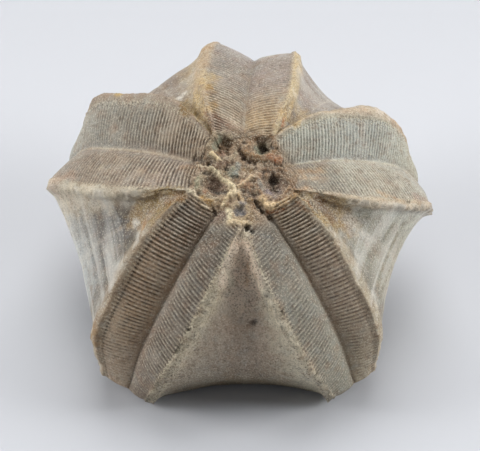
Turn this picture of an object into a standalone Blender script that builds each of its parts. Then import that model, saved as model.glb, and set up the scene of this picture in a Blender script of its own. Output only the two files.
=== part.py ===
"""Theca of a fossil blastoid: five ribbed ambulacra between sharp rims, hollowed plates between them,
a summit with five spiracles round the mouth, and a low pelvis that ends in the scar of the stem.

The cup is first shaped upright, with its mouth on +Z, and then leans forward (towards -Y) as it lies
when it is put down: on the tips of its two front rays and on the end of its stem.
"""

import math

import bmesh
import bpy
from mathutils import Matrix, Vector

MM = 0.001

# The rays, counter-clockwise from the right one: azimuth in degrees, then three shares of the mean (how
# far the ray reaches, and the widths of its clockwise and its counter-clockwise half), and how far its
# tip bends to the left, in mm.
RAYS = (
    (20.0, 0.94, 1.12, 1.02, -0.80),
    (88.6, 0.98, 0.95, 0.98, -0.50),
    (158.1, 1.00, 1.22, 1.14, -0.20),
    (237.9, 1.04, 1.01, 0.80, -0.15),
    (307.0, 1.01, 0.92, 0.83, -0.40),
)
COUNT = len(RAYS)

# A mean ray from the summit's edge to its tip, in mm: distance from the axis and height along the
# food groove in the middle; the same two with the half width along each rim.
GROOVE_LINE = ((3.7, -0.7), (8.0, -2.2), (11.7, -4.5), (14.8, -7.2), (16.8, -11.5))
RIM_LINE = ((8.5, 4.0, -1.1), (12.4, 4.1, -3.7), (15.9, 3.8, -6.6), (16.9, 2.5, -11.2))
APEX_RADIUS = 4.7
APEX_HEIGHT = -0.3

# The middle of the hollow between two rays, from the summit down to the lower margin, in mm, and how
# steeply its floor rises to the rims.
HOLLOW_LINE = ((8.4, -2.6), (12.0, -5.0), (14.1, -8.3), (13.5, -12.0))
HOLLOW_POWER = 2.0

# The ribs across each half of a ray, in mm. RIB_INNER and RIB_OUTER are where a rib starts and ends, as
# shares of the half width.
RIB_PITCH = 0.35
RIB_HEIGHT = 0.16
RAY_LENGTH = 17.0
RIB_INNER = 0.09
RIB_OUTER = 0.90
HALF_BULGE = 0.22
RIM_LIP = 0.20
GROOVE_DEPTH = 0.12

# The summit, in mm: five spiracles on a ring round the mouth, each in a raised collar.
SPIRACLE_RING = 3.1
SPIRACLE_RADIUS = 0.95
SPIRACLE_DEPTH = 1.1
COLLAR_HEIGHT = 0.28
COLLAR_WIDTH = 0.38
SUMMIT_LEVEL = -0.35
MOUTH_RADIUS = 0.55
MOUTH_DEPTH = 0.45

# The underside, in mm: the margin turns in over a lip, and the curve then bends towards the stem, along
# a keel under each ray and a hollower face between them. Pairs are distance from the axis and height.
KEEL_LIP = 1.7
FACE_LIP = 0.3
LIP_INSET = 0.3
KEEL_BEND = (7.0, -15.0)
FACE_BEND = (6.0, -13.2)
STEM_JOIN = (2.6, -16.5)
STEM_RINGS = ((2.0, -16.9), (1.7, -17.5), (1.6, -19.6))

# How it lies: its lean forward and its roll to the right in degrees, the depth worn off its lowest tip
# in mm, and the y in mm, before it is set down, in front of which the tips that it rests on are.
LEAN = 20.0
ROLL = 0.8
WORN_DEPTH = 0.25
FRONT = -5.0

# How finely it is divided. A summit ring has RING_POINTS in proportion to its share of the radius.
RIM_STEPS = 24
HOLLOW_COLUMNS = 10
SUMMIT_RINGS = 10
RING_POINTS = 130
MOST_RING_POINTS = 70
UNDER_RINGS = (0.06, 0.14, 0.26, 0.42, 0.60, 0.80, 1.0)
MARGIN_TO_STEM = 4
SHARP_ANGLE = 30.0


def spline(points, share):
    """A smooth curve through the points, at a share of 0 to 1 of its spans."""
    spans = len(points) - 1
    span = min(int(share * spans), spans - 1)
    t = share * spans - span
    p1 = points[span]
    p2 = points[span + 1]
    p0 = points[span - 1] if span > 0 else 2 * p1 - p2
    p3 = points[span + 2] if span + 2 <= spans else 2 * p2 - p1
    return (p1 * 2 + (p2 - p0) * t + (p0 * 2 - p1 * 5 + p2 * 4 - p3) * t * t
            + (p1 * 3 - p0 - p2 * 3 + p3) * t * t * t) / 2


def around(azimuth, distance, aside, height):
    """A point in metres, from its distance out along an azimuth, its offset to the left and its height."""
    out = Vector((math.cos(azimuth), math.sin(azimuth), 0.0))
    left = Vector((-out.y, out.x, 0.0))
    return (out * distance + left * aside + Vector((0.0, 0.0, height))) * MM


def apex_azimuth(ray):
    """Azimuth half way between a ray and the next one counter-clockwise."""
    here = math.radians(RAYS[ray][0])
    after = math.radians(RAYS[(ray + 1) % COUNT][0])
    if after < here:
        after += 2 * math.pi
    return (here + after) / 2


def apex(ray):
    """Where the rims of a ray and of the next one counter-clockwise meet at the summit."""
    return around(apex_azimuth(ray), APEX_RADIUS, 0.0, APEX_HEIGHT)


def on_ray(ray, distance, aside, height):
    """A point beside a ray's own line, at the distance and height that a mean ray would have it."""
    azimuth, reach, _, _, bend = RAYS[ray]
    start = GROOVE_LINE[0][0]
    tip = GROOVE_LINE[-1][0]
    along = (distance - start) / (tip - start)
    out = start + (distance - start) * reach
    return around(math.radians(azimuth), out, aside + bend * along ** 2, height * reach)


def groove(ray, share):
    return spline([on_ray(ray, out, 0.0, height) for out, height in GROOVE_LINE], share)


def rim(ray, side, share):
    """The rim on the clockwise (-1) or the counter-clockwise (+1) side of a ray."""
    width = RAYS[ray][2] if side < 0 else RAYS[ray][3]
    line = [apex(ray if side > 0 else (ray - 1) % COUNT)]
    line += [on_ray(ray, out, side * half * width, height) for out, half, height in RIM_LINE]
    return spline(line, share)


def smooth_half(ray, share, across):
    """The ambulacrum without its ribs: across runs from -1 at one rim through 0 at the groove to +1."""
    side = 1 if across >= 0 else -1
    low = groove(ray, share)
    high = rim(ray, side, share)
    return low.lerp(high, abs(across))


def ambulacrum(ray, share, across, raised):
    """A point of the ambulacrum, raised in mm along the surface's own normal."""
    side = 1 if across >= 0 else -1
    step = 0.01
    before = smooth_half(ray, max(share - step, 0.0), across)
    after = smooth_half(ray, min(share + step, 1.0), across)
    over = rim(ray, side, share) - groove(ray, share)
    normal = (after - before).cross(over)
    normal.normalize()
    if normal.z < 0:
        normal.negate()
    # The bulge is full half way between the groove and the rim, and the lip rises outside the ribs.
    bulge = HALF_BULGE * 4 * abs(across) * (1 - abs(across))
    lip = RIM_LIP * max(0.0, 1 - (1 - abs(across)) / (1 - RIB_OUTER))
    return smooth_half(ray, share, across) + normal * (bulge + lip + raised) * MM


def hollow(ray, share, across):
    """The hollow between a ray and the next one: across runs from -1 at the ray to +1 at the next."""
    here = rim(ray, 1, share)
    after = rim((ray + 1) % COUNT, -1, share)
    reach = (RAYS[ray][1] + RAYS[(ray + 1) % COUNT][1]) / 2
    azimuth = apex_azimuth(ray)
    line = [around(azimuth, out * reach, 0.0, height * reach) for out, height in HOLLOW_LINE]
    middle = spline([apex(ray)] + line, share)
    sink = 1 - abs(across) ** HOLLOW_POWER
    return here.lerp(after, (across + 1) / 2) + (middle - (here + after) / 2) * sink


def summit_height(x, y, edge_height, share):
    """Height in mm of the summit over x, y in mm; share is 0 at the mouth and 1 at the summit's edge."""
    height = SUMMIT_LEVEL + (edge_height - SUMMIT_LEVEL) * share ** 2
    for ray in range(COUNT):
        azimuth = apex_azimuth(ray)
        away = math.hypot(x - SPIRACLE_RING * math.cos(azimuth), y - SPIRACLE_RING * math.sin(azimuth))
        collar = (away - SPIRACLE_RADIUS - COLLAR_WIDTH / 2) / (COLLAR_WIDTH / 2)
        height += COLLAR_HEIGHT * math.exp(-collar * collar)
        if away < SPIRACLE_RADIUS:
            height -= SPIRACLE_DEPTH * (1 - (away / SPIRACLE_RADIUS) ** 3)
    mouth = math.hypot(x, y) / MOUTH_RADIUS
    return height - MOUTH_DEPTH * math.exp(-mouth * mouth)


def underside(edge, share, keel):
    """From a corner of the margin (share 0) to where the stem joins (share 1); keel is 1 under a ray."""
    out = math.hypot(edge.x, edge.y)
    azimuth = math.atan2(edge.y, edge.x)
    bend = Vector(FACE_BEND).lerp(Vector(KEEL_BEND), keel) * MM
    start = Vector((out, edge.z))
    lip = FACE_LIP + (KEEL_LIP - FACE_LIP) * keel
    below = Vector((out - LIP_INSET * MM, edge.z - lip * MM))
    end = Vector(STEM_JOIN) * MM
    rest = 1 - share
    where = start * rest ** 3 + below * 3 * rest ** 2 * share
    where += bend * 3 * rest * share ** 2 + end * share ** 3
    return Vector((where.x * math.cos(azimuth), where.x * math.sin(azimuth), where.y))


def stitch(shape, one, other):
    """Triangles between two rows of corners, which may hold different numbers of them."""
    last_one = len(one) - 1
    last_other = len(other) - 1
    i = 0
    j = 0
    while i < last_one or j < last_other:
        if j == last_other or (i < last_one and (i + 1) * last_other <= (j + 1) * last_one):
            shape.faces.new((one[i], one[i + 1], other[j]))
            i += 1
        else:
            shape.faces.new((one[i], other[j + 1], other[j]))
            j += 1


def add_rays(shape, apexes):
    """The five ambulacra. Returns the rows of corners along their rims, summit ends and tips."""
    rows = 2 * round(RAY_LENGTH / RIB_PITCH)
    rims = {}
    starts = []
    tips = []
    for ray in range(COUNT):
        middle = []
        for k in range(RIM_STEPS + 1):
            middle.append(shape.verts.new(ambulacrum(ray, k / RIM_STEPS, 0.0, -GROOVE_DEPTH)))
        row_start = [middle[0]]
        row_tip = [middle[-1]]
        for side in (-1, 1):
            edge = [apexes[ray if side > 0 else (ray - 1) % COUNT]]
            for k in range(1, RIM_STEPS + 1):
                edge.append(shape.verts.new(ambulacrum(ray, k / RIM_STEPS, side, 0.0)))
            columns = []
            for across in (RIB_INNER, RIB_OUTER):
                column = []
                for row in range(rows + 1):
                    raised = RIB_HEIGHT / 2 if row % 2 else -RIB_HEIGHT / 2
                    column.append(shape.verts.new(ambulacrum(ray, row / rows, side * across, raised)))
                columns.append(column)
            stitch(shape, middle, columns[0])
            stitch(shape, columns[0], columns[1])
            stitch(shape, columns[1], edge)
            rims[ray, side] = edge
            start = [columns[0][0], columns[1][0], edge[0]]
            tip = [columns[0][-1], columns[1][-1], edge[-1]]
            row_start = row_start + start if side > 0 else start[::-1] + row_start
            row_tip = row_tip + tip if side > 0 else tip[::-1] + row_tip
        starts.append(row_start)
        tips.append(row_tip)
    return rims, starts, tips


def add_hollows(shape, rims, apexes):
    """The hollowed plates between the rays. Returns the rows of corners along their lower margins."""
    margins = []
    for ray in range(COUNT):
        here = rims[ray, 1]
        after = rims[(ray + 1) % COUNT, -1]
        above = [apexes[ray]]
        for k in range(1, RIM_STEPS + 1):
            # Two columns more at every second step, as the hollow widens away from its apex.
            columns = min(HOLLOW_COLUMNS, 2 + k // 2 * 2)
            row = [here[k]]
            for c in range(1, columns):
                row.append(shape.verts.new(hollow(ray, k / RIM_STEPS, 2 * c / columns - 1)))
            row.append(after[k])
            stitch(shape, above, row)
            above = row
        margins.append(above)
    return margins


def add_summit(shape, starts):
    """Rings from the summit's edge inwards, over the spiracles and the mouth."""
    ring = [corner for start in starts for corner in start[:-1]]
    edge = [corner.co / MM for corner in ring]
    turn = math.atan2(edge[0].y, edge[0].x)
    for step in range(1, SUMMIT_RINGS + 1):
        share = 1 - step / (SUMMIT_RINGS + 1)
        count = min(MOST_RING_POINTS, round(RING_POINTS * share))
        inner = []
        for k in range(count):
            x, y, z = edge_at(edge, turn + 2 * math.pi * k / count)
            height = summit_height(x * share, y * share, z, share)
            inner.append(shape.verts.new(Vector((x * share, y * share, height)) * MM))
        stitch(shape, ring + ring[:1], inner + inner[:1])
        ring = inner
    middle = shape.verts.new(Vector((0.0, 0.0, summit_height(0.0, 0.0, 0.0, 0.0))) * MM)
    stitch(shape, ring + ring[:1], [middle])


def edge_at(edge, azimuth):
    """The point of the summit's edge in a direction from the axis."""
    out = Vector((math.cos(azimuth), math.sin(azimuth), 0.0))
    for k, here in enumerate(edge):
        after = edge[(k + 1) % len(edge)]
        from_here = out.cross(here).z
        from_after = out.cross(after).z
        if from_here <= 0 < from_after and out.dot(here) > 0:
            return here.lerp(after, from_here / (from_here - from_after))
    return edge[0]


def add_underside(shape, tips, margins):
    """Rings from the lower margin down to the stem, whose end is closed."""
    ring = []
    keels = []
    for ray in range(COUNT):
        for row, is_ray in ((tips[ray], True), (margins[ray], False)):
            for k, corner in enumerate(row[:-1]):
                off_middle = abs(2 * k / (len(row) - 1) - 1)
                keels.append(1.0 if is_ray else off_middle ** 2)
                ring.append(corner)
    edge = [corner.co.copy() for corner in ring]
    for share in UNDER_RINGS:
        inner = [shape.verts.new(underside(edge[k], share, keels[k])) for k in range(len(edge))]
        stitch(shape, ring + ring[:1], inner + inner[:1])
        ring = inner
    turns = [math.atan2(corner.y, corner.x) for corner in edge[::MARGIN_TO_STEM]]
    for radius, height in STEM_RINGS:
        inner = [shape.verts.new(around(turn, radius, 0.0, height)) for turn in turns]
        stitch(shape, ring + ring[:1], inner + inner[:1])
        ring = inner
    shape.faces.new(ring)


def wear_flat(shape):
    """Leans the cup forward, sets it down, and wears off what would reach below the ground."""
    lean = Matrix.Rotation(math.radians(LEAN), 4, "X")
    roll = Matrix.Rotation(math.radians(ROLL), 4, "Y")
    bmesh.ops.transform(shape, matrix=roll @ lean, verts=shape.verts)
    front = min(corner.co.z for corner in shape.verts if corner.co.y < FRONT * MM)
    ground = front + WORN_DEPTH * MM
    cut = bmesh.ops.bisect_plane(
        shape, geom=shape.verts[:] + shape.edges[:] + shape.faces[:], dist=1e-7,
        plane_co=(0.0, 0.0, ground), plane_no=(0.0, 0.0, -1.0), clear_outer=True
    )
    loops = [item for item in cut["geom_cut"] if isinstance(item, bmesh.types.BMEdge)]
    bmesh.ops.holes_fill(shape, edges=loops)
    low = Vector([min(corner.co[k] for corner in shape.verts) for k in range(3)])
    high = Vector([max(corner.co[k] for corner in shape.verts) for k in range(3)])
    centre = Vector(((low.x + high.x) / 2, (low.y + high.y) / 2, ground))
    bmesh.ops.translate(shape, vec=-centre, verts=shape.verts)


def stone_material():
    material = bpy.data.materials.new("fossil_limestone")
    material.use_nodes = True
    shader = material.node_tree.nodes["Principled BSDF"]
    shader.inputs["Base Color"].default_value = (0.33, 0.29, 0.24, 1.0)
    shader.inputs["Roughness"].default_value = 0.6
    shader.inputs["Metallic"].default_value = 0.0
    return material


def add_theca():
    shape = bmesh.new()
    apexes = [shape.verts.new(apex(ray)) for ray in range(COUNT)]
    rims, starts, tips = add_rays(shape, apexes)
    margins = add_hollows(shape, rims, apexes)
    add_summit(shape, starts)
    add_underside(shape, tips, margins)
    bmesh.ops.recalc_face_normals(shape, faces=shape.faces)
    wear_flat(shape)
    bmesh.ops.triangulate(shape, faces=shape.faces)
    mesh = bpy.data.meshes.new("theca")
    shape.to_mesh(mesh)
    shape.free()
    mesh.set_sharp_from_angle(angle=math.radians(SHARP_ANGLE))
    mesh.materials.append(stone_material())
    theca = bpy.data.objects.new("theca", mesh)
    bpy.context.scene.collection.objects.link(theca)


for thing in list(bpy.data.objects):
    bpy.data.objects.remove(thing)
add_theca()
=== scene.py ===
import math

import bmesh
import bpy
import numpy as np
from mathutils import Matrix, Vector, noise


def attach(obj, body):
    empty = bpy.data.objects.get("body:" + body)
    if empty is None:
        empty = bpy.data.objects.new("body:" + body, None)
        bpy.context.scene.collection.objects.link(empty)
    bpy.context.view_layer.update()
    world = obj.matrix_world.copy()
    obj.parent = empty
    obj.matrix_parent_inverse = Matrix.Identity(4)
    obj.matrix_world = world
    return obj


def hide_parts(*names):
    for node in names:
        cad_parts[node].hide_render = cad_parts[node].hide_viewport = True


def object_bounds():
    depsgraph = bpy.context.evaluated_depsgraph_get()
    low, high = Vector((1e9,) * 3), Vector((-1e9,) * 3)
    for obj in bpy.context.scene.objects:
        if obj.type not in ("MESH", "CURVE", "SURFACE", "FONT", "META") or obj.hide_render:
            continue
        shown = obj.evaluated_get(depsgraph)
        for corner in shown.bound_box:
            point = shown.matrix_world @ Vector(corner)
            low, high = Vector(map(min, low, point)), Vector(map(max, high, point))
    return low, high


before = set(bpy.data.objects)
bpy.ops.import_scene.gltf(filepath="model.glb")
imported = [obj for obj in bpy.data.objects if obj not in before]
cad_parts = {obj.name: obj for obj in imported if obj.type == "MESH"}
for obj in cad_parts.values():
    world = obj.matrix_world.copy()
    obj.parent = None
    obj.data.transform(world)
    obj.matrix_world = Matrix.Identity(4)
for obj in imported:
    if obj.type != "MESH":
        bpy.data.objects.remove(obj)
cadLow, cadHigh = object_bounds()
mm = 0.001

cup = {  # mm and degrees; the cup stands upright here, mouth up, and is leaned over at the end
    # azimuth, reach, width of the clockwise and of the counter-clockwise half, bend of the tip
    "rays": ((20.0, 0.94, 1.12, 1.02, -0.80),   # right
             (88.6, 0.98, 0.95, 0.98, -0.50),   # back
             (158.1, 1.00, 1.22, 1.14, -0.20),  # left
             (237.9, 1.04, 1.01, 0.80, -0.15),  # front left
             (307.0, 1.01, 0.92, 0.83, -0.40)),  # front right
    "groove": ((3.7, -0.7), (8.0, -2.2), (11.7, -4.5), (14.8, -7.2), (16.8, -11.5)),  # out, height
    # along a rim: out, aside, height
    "rim": ((8.5, 4.0, -1.1), (12.4, 4.1, -3.7), (15.9, 3.8, -6.6), (16.9, 2.5, -11.2)),
    "rayLength": 17.0,
    "halfWidth": 4.0,
    "apex": (4.7, -0.3),  # where two rays meet at the summit, out and height
    "hollow": ((8.4, -2.6), (12.0, -5.0), (14.1, -8.3), (13.5, -12.0)),
    "bulge": 0.22,    # how much each half of a ray is vaulted
    "lip": 0.20,      # the raised edge outside the ribs, and the share of the half width where it is up
    "lipFrom": 0.90,
    "summitLevel": -0.35,
    # underneath: how far the margin turns in, under a ray and under a plate, and the curves to the stem
    "keelLip": 1.7,
    "faceLip": 0.3,
    "lipInset": 0.3,
    "keelBend": (7.0, -15.0),
    "faceBend": (6.0, -13.2),
    "stemJoin": (2.6, -16.5),
    "stem": ((2.0, -16.9), (1.7, -17.5), (1.6, -19.6)),
    "lean": 20.0,
    "roll": 0.8,
}

mesh = {  # how finely it is divided
    "rowsPerRib": 6,
    "rayColumns": (0.0, 0.025, 0.055, 0.09, 0.15, 0.23, 0.32, 0.42, 0.52, 0.62,
                   0.70, 0.75, 0.80, 0.84, 0.88, 0.92, 0.96, 1.0),
    "rowsPerPlateRow": 3,
    "hollowColumns": 32,
    "summitStep": 0.09,  # mm
    "underRings": 20,
    "stemRings": 8,
}


def spline(points, share):  # smooth curve through the points, share 0 to 1 along it
    points = np.asarray(points, float)
    spans = len(points) - 1
    span = np.clip((share * spans).astype(int), 0, spans - 1)
    t = (share * spans - span)[..., None]
    line = np.vstack((2 * points[0] - points[1], points, 2 * points[-1] - points[-2]))
    p0, p1, p2, p3 = line[span], line[span + 1], line[span + 2], line[span + 3]
    curve = 2 * p1 + (p2 - p0) * t + (2 * p0 - 5 * p1 + 4 * p2 - p3) * t ** 2
    return (curve + (3 * p1 - p0 - 3 * p2 + p3) * t ** 3) / 2


def around(azimuth, out, aside, height):
    ahead = (math.cos(azimuth), math.sin(azimuth))
    return (ahead[0] * out - ahead[1] * aside, ahead[1] * out + ahead[0] * aside, height)


def apexAzimuth(ray):  # half way to the next ray counter-clockwise
    here = cup["rays"][ray][0]
    after = cup["rays"][(ray + 1) % 5][0]
    return math.radians((here + after + (360 if after < here else 0)) / 2)


def apexPoint(ray):
    return around(apexAzimuth(ray), cup["apex"][0], 0.0, cup["apex"][1])


def onRay(ray, out, aside, height):
    azimuth, reach, cw, ccw, bend = cup["rays"][ray]
    start = cup["groove"][0][0]
    along = (out - start) / (cup["groove"][-1][0] - start)
    aside += bend * along ** 2
    return around(math.radians(azimuth), start + (out - start) * reach, aside, height * reach)


def grooveCurve(ray):
    return [onRay(ray, out, 0.0, height) for out, height in cup["groove"]]


def rimCurve(ray, side):  # side is -1 clockwise, +1 counter-clockwise
    width = cup["rays"][ray][2 if side < 0 else 3]
    top = apexPoint(ray if side > 0 else (ray - 1) % 5)
    return [top] + [onRay(ray, out, side * half * width, height) for out, half, height in cup["rim"]]


def hollowCurve(ray):
    reach = (cup["rays"][ray][1] + cup["rays"][(ray + 1) % 5][1]) / 2
    azimuth = apexAzimuth(ray)
    line = [around(azimuth, out * reach, 0.0, height * reach) for out, height in cup["hollow"]]
    return [apexPoint(ray)] + line


def ramp(low, high, x):  # smooth step from 0 at low to 1 at high
    t = np.clip((x - low) / (high - low), 0.0, 1.0)
    return t * t * (3 - 2 * t)


def bell(x, width):
    return np.exp(-(x / width) ** 2)


def linear(code):  # sRGB hex to linear
    parts = [int(code[k:k + 2], 16) / 255 for k in (0, 2, 4)]
    return [v / 12.92 if v <= 0.04045 else ((v + 0.055) / 1.055) ** 2.4 for v in parts]


def lumps(points, size, octaves=1, seed=0):  # noise of about -1 to 1, its lumps size mm wide
    shift = Vector((seed * 7.3, seed * 3.1, seed * 5.7))
    return np.array([noise.fractal(Vector(p) / size + shift, 1.0, 2.0, octaves) for p in points])


def between(three, t):  # a colour or a number given at the mouth, midway and at the tip
    values = np.array([linear(item) if isinstance(item, str) else [item] for item in three])
    early = ramp(0.05, 0.40, t)[..., None]
    late = ramp(0.45, 0.90, t)[..., None]
    mixed = values[0] + (values[1] - values[0]) * early + (values[2] - values[1]) * late
    return mixed if mixed.shape[-1] == 3 else mixed[..., 0]


def blend(tones, code, much):
    return tones + (np.array(linear(code)) - tones) * np.asarray(much)[..., None]


# the numbers that each corner carries; the material reads them
layers = ("relief", "gap", "back", "pore", "crest", "plate", "grain", "calm", "base", "across", "along",
          "streaks")


class Skin:  # gathers corners and faces

    def __init__(self):
        self.points = []
        self.tones = []
        self.faces = []
        self.values = {name: [] for name in layers}
        self.count = 0

    def add(self, points, tones, **values):
        points = np.asarray(points, float).reshape(-1, 3)
        self.points.append(points)
        self.tones.append(np.broadcast_to(np.asarray(tones, float).reshape(-1, 3), points.shape))
        for name in layers:
            value = np.asarray(values.get(name, 0.0), float)
            self.values[name].append(np.broadcast_to(value.reshape(-1), (len(points),)))
        self.count += len(points)
        return np.arange(self.count - len(points), self.count)

    def grid(self, index):  # quads over a two-way table of corners
        corners = (index[:-1, :-1], index[:-1, 1:], index[1:, 1:], index[1:, :-1])
        self.faces += np.stack(corners, -1).reshape(-1, 4).tolist()

    def stitch(self, one, other):  # triangles between two rows that may hold different counts
        one = [int(k) for k in one]
        other = [int(k) for k in other]
        lastOne = len(one) - 1
        lastOther = len(other) - 1
        i = 0
        j = 0
        while i < lastOne or j < lastOther:
            if j == lastOther or (i < lastOne and (i + 1) * lastOther <= (j + 1) * lastOne):
                self.faces.append((one[i], one[i + 1], other[j]))
                i += 1
            else:
                self.faces.append((one[i], other[j + 1], other[j]))
                j += 1


halves = {  # each half ray, -1 clockwise and 1 counter-clockwise
    # slant of its ribs, their height and its colour at the mouth, midway and at the tip; the share of the
    # half width they run from and to; raised line in the groove; pores at the rib ends; grit beyond them
    (0, -1): {"slant": 0.04, "ribs": (0.65, 0.60, 0.25), "tones": ("827a6c", "bfb9a7", "9f9d95"),
              "from": 0.08, "to": 0.86, "line": 0.8, "seam": 0.3, "pores": 0.4, "grit": 0.5,
              "wall": "b9a48b", "crest": "d2bda0"},
    (0, 1): {"slant": 0.05, "ribs": (0.60, 0.65, 0.40), "tones": ("b5b6a8", "b1b3aa", "afad9c"),
             "from": 0.08, "to": 0.76, "line": 0.8, "seam": 0.0, "pores": 0.2, "grit": 1.0,
              "wall": "b0a993", "crest": "c5ae90"},
    (1, -1): {"slant": 0.00, "ribs": (0.75, 0.50, 0.25), "tones": ("cdb188", "9c8e84", "bcb7b0"),
              "from": 0.05, "to": 0.84, "line": 0.5, "seam": 0.0, "pores": 0.2, "grit": 0.5,
              "wall": "c2aa80", "crest": "d3bd90"},
    (1, 1): {"slant": 0.06, "ribs": (1.30, 0.60, 0.25), "tones": ("c3b198", "958a7e", "beb8b8"),
             "from": 0.05, "to": 0.84, "line": 0.5, "seam": 0.0, "pores": 0.2, "grit": 0.5,
              "wall": "b8a485", "crest": "c0a37e"},
    (2, -1): {"slant": 0.03, "ribs": (1.10, 0.75, 0.35), "tones": ("b29e86", "908a7d", "a9a89e"),
              "from": 0.08, "to": 0.76, "line": 0.8, "seam": 0.0, "pores": 0.2, "grit": 0.9,
              "wall": "9b8a78", "crest": "a8937e"},
    (2, 1): {"slant": -0.03, "ribs": (1.00, 0.80, 0.25), "tones": ("9b8b7b", "9b8b78", "999187"),
             "from": 0.10, "to": 0.86, "line": 0.8, "seam": 1.0, "pores": 0.4, "grit": 0.4,
              "wall": "b0a28d", "crest": "d0c4ac"},
    (3, -1): {"slant": 0.01, "ribs": (1.00, 1.05, 0.55), "tones": ("6b5948", "b09475", "c2ad94"),
              "from": 0.12, "to": 0.76, "line": 0.0, "seam": 0.0, "pores": 1.0, "grit": 0.4,
              "wall": "8e7a60", "crest": "a5937a"},
    (3, 1): {"slant": 0.05, "ribs": (0.90, 0.85, 0.55), "tones": ("52483b", "827668", "827567"),
             "from": 0.20, "to": 0.90, "line": 0.0, "seam": 0.0, "pores": 1.0, "grit": 1.0,
              "wall": "7c6c54", "crest": "c4b89c"},
    (4, -1): {"slant": 0.05, "ribs": (0.60, 0.60, 0.45), "tones": ("645e53", "898577", "8e8a7a"),
              "from": 0.26, "to": 0.90, "line": 0.0, "seam": 0.0, "pores": 0.9, "grit": 0.8,
              "wall": "978d7b", "crest": "cdc1a8"},
    (4, 1): {"slant": 0.02, "ribs": (1.00, 0.88, 0.58), "tones": ("786750", "b5a18b", "b5a78e"),
             "from": 0.14, "to": 0.78, "line": 0.0, "seam": 0.0, "pores": 0.6, "grit": 0.4,
              "wall": "978873", "crest": "b5a78d"},
}

ribs = {  # mm and shares of the half width
    "count": 57,
    # share of the ray, how close the ribs stand there
    "crowding": ((0.0, 1.12), (0.12, 1.09), (0.20, 1.01), (0.35, 0.915),
                 (0.45, 0.95), (0.60, 1.06), (0.75, 1.02), (1.0, 0.95)),
    "bow": 0.02,
    "height": 0.17,
    "poreWidth": 0.032,
    "poreDepth": 0.14,
    "toothHeight": 0.07,
    "toothLength": 0.042,
    "grooveDepth": 0.16,
    "lineHeight": 0.07,
    "lineWidth": 0.018,
    "seamAt": 0.54,
    "seamWidth": 0.012,
    "seamHeight": 0.04,
    "wornSize": 1.8,      # mm, patches where the ribs are worn down
    "paleTone": "cdc0a4",     # raised lines and teeth
    "channelShadowTone": "6f6a68",  # painted shadow beside the raised line
    # painted shade down a groove without a raised line
    "grooveShadeTone": "6b5742",
    # painted shade along the row of pores
    "poreShadeTone": "66553f",
}

crest = {  # the rims: width as a share of the half width, the rest in mm
    "width": 0.07,
    "round": 0.10,
    "chips": 0.13,
    "chipSize": 0.8,
    "wobble": 0.16,
    "wobbleSize": 1.7,
}

# how many ribs lie before each share of the ray
ribShares = np.linspace(-0.2, 1.2, 1401)
ribCounts = np.cumsum(np.interp(ribShares, *zip(*ribs["crowding"])))
ribCounts -= np.interp(0.0, ribShares, ribCounts)
ribCounts *= ribs["count"] / np.interp(1.0, ribShares, ribCounts)


def shift(ray, side, off):  # how far a rib has moved towards the tip at this share of the half width
    return halves[ray, side]["slant"] * off + ribs["bow"] * off * (1 - off)


def eased(t):  # no shift at either end of a ray
    return ramp(0.0, 0.25, t) * ramp(0.0, 0.2, 1 - t)


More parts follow.
